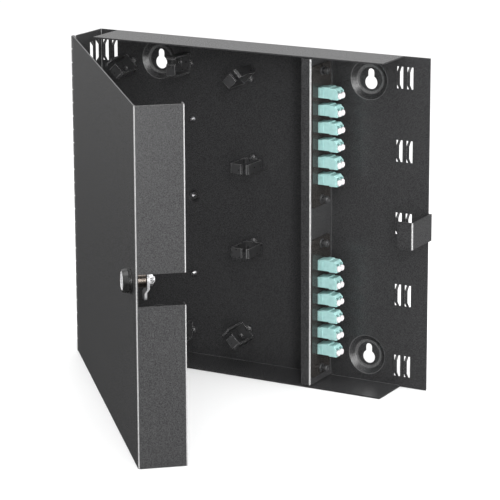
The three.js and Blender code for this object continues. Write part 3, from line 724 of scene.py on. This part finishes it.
def makeClips():
    for node in sorted(name for name in frame["nodes"] if name.startswith("routing_clip_")):
        clip = cadCopy(node, node.replace("routing_clip_", "routingClip_"))
        clip.data.materials.clear()
        clip.data.materials.append(finishes["nylon"])
        clip.data.materials.append(finishes["nylonEdge"])
        # skin 1 paints the bevelled clip edges with the painted highlight
        softenEdges(clip, 0.4 * mm, segments=2, angle=25, smooth=40, skin=1)
        finish(clip, None, "box", "black_nylon", node)


def makeStuds():
    for node in ("tray_stud_upper", "tray_stud_lower"):
        low, high = (Vector(corner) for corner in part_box(node))
        centre = ((low.x + high.x) / 2, 0, (low.z + high.z) / 2)
        collar = turnedPart("collar", centre, "y", [
            ((high.x - low.x) / 2, high.y - 0.6 * mm), ((high.x - low.x) / 2, high.y)], sides=40)
        shank = threadedPart("shank", centre, "y", 1.5 * mm, low.y, high.y - 0.3 * mm, 0.5 * mm)
        stud = joinPieces(node.replace("tray_stud", "trayStud"), [collar, shank])
        softenEdges(stud, 0.08 * mm, segments=1, angle=50, smooth=30)
        finish(stud, finishes["zinc"], "box", "zinc", node)
    low, high = (Vector(corner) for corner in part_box("ground_stud"))
    centre = ((low.x + high.x) / 2, 0, (low.z + high.z) / 2)
    stud = threadedPart("groundStud", centre, "y", (high.x - low.x) / 2, low.y, high.y, 0.6 * mm)
    softenEdges(stud, 0.05 * mm, segments=1, angle=60, smooth=30)
    finish(stud, finishes["zinc"], "box", "zinc", "ground_stud")
    nut = cadCopy("ground_nut", "groundNut")
    softenEdges(nut, 0.25 * mm, segments=2, angle=40)
    finish(nut, finishes["zinc"], "box", "zinc", "ground_nut")


makeClips()
makeStuds()
print("clips and studs ready")


def makeLock():
    lock = {"bezel": 10.8 * mm, "groove": 9.7 * mm, "plugFace": 8.2 * mm, "barrel": 6.6 * mm,
            "stand": 7.6 * mm, "edge": 0.25 * mm, "keyway": (2.6 * mm, 7.0 * mm, 4.0 * mm)}
    low, high = doorNodeBox("lock_housing")
    centre = ((low.x + high.x) / 2, 0, (low.z + high.z) / 2)
    front, seat = low.y, low.y + lock["stand"] - 0.1 * mm
    bezel = turnedPart("lockBezel", centre, "y", [
        (lock["bezel"], seat), (lock["bezel"], seat - 1.2 * mm), (lock["groove"], seat - 1.4 * mm),
        (lock["groove"], seat - 2.3 * mm), (lock["bezel"] - 0.3 * mm, seat - 2.6 * mm),
        (lock["bezel"] - 1.3 * mm, front + 0.9 * mm), (lock["bezel"] - 1.9 * mm, front),
        (lock["plugFace"] + 0.35 * mm, front), (lock["plugFace"] + 0.3 * mm, front + 2.4 * mm)], sides=56)
    turnOutward(bezel)
    softenEdges(bezel, lock["edge"], segments=3, angle=30, smooth=45)
    bezel.data.transform(doorPlace)
    finish(bezel, finishes["bezel"], "door", "bezel_black", "lock_housing")

    barrel = turnedPart("lockBarrel", centre, "y", [
        (lock["barrel"], seat - 1 * mm), (lock["barrel"], high.y - 3.2 * mm),
        (lock["barrel"] - 0.35 * mm, high.y - 3.0 * mm),
        (lock["barrel"] - 0.35 * mm, high.y - 2.2 * mm), (lock["barrel"], high.y - 2.0 * mm),
        (lock["barrel"], high.y - 0.3 * mm), (lock["barrel"] - 0.5 * mm, high.y)], sides=48)
    softenEdges(barrel, 0.12 * mm, segments=2, angle=30, smooth=40)
    barrel.data.transform(doorPlace)
    finish(barrel, finishes["barrel"], "door", "chrome_zinc")

    plugFront = front + 0.2 * mm
    tail = doorNodeBox("lock_plug")
    plug = turnedPart("lockPlug", centre, "y", [
        (lock["plugFace"], front + 2.2 * mm), (lock["plugFace"], plugFront + 0.5 * mm),
        (lock["plugFace"] - 0.5 * mm, plugFront), (lock["plugFace"] - 1.4 * mm, plugFront),
        (lock["plugFace"] - 1.6 * mm, plugFront + 0.25 * mm),
        (lock["plugFace"] - 2.4 * mm, plugFront + 0.25 * mm),
        (lock["plugFace"] - 2.6 * mm, plugFront)], sides=56)
    turnOutward(plug)
    width, height, depth = lock["keyway"]
    cutter = addBlock("keyway", (centre[0] - width / 2, plugFront - 1 * mm, centre[2] - height / 2),
                      (centre[0] + width / 2, plugFront + 1.8 * mm, centre[2] + height / 2))
    makeActive(plug)
    slot = plug.modifiers.new("keyway", "BOOLEAN")
    slot.object = cutter
    slot.solver = "EXACT"
    bpy.ops.object.modifier_apply(modifier=slot.name)
    bpy.data.objects.remove(cutter)
    softenEdges(plug, 0.12 * mm, segments=2, angle=40, smooth=40)
    shaft = threadedPart("tail", centre, "y", 3.0 * mm, high.y + 0.05 * mm, tail[1].y, 0.8 * mm)
    plug = joinPieces("lockPlug", [plug, shaft])
    plug.data.transform(doorPlace)
    finish(plug, finishes["satin"], "lock", "chrome_zinc", "lock_plug")

    small = {"lock_cam": ("lockCam", "lock", "satin"), "cam_nut": ("camNut", "lock", "zinc"),
             "lock_spring_clip": ("lockSpringClip", "door", "zinc")}
    for node, (name, body, coat) in small.items():
        piece = cadCopy(node, name)
        softenEdges(piece, 0.22 * mm, segments=3, angle=30, smooth=35)
        finish(piece, finishes[coat], body, "zinc", node)


makeLock()
print("lock ready")

for name, node in frame["nodes"].items():  # whatever is still a CAD node gets its finish
    node.data.materials.clear()
    node.data.materials.append(finishes["zinc"])
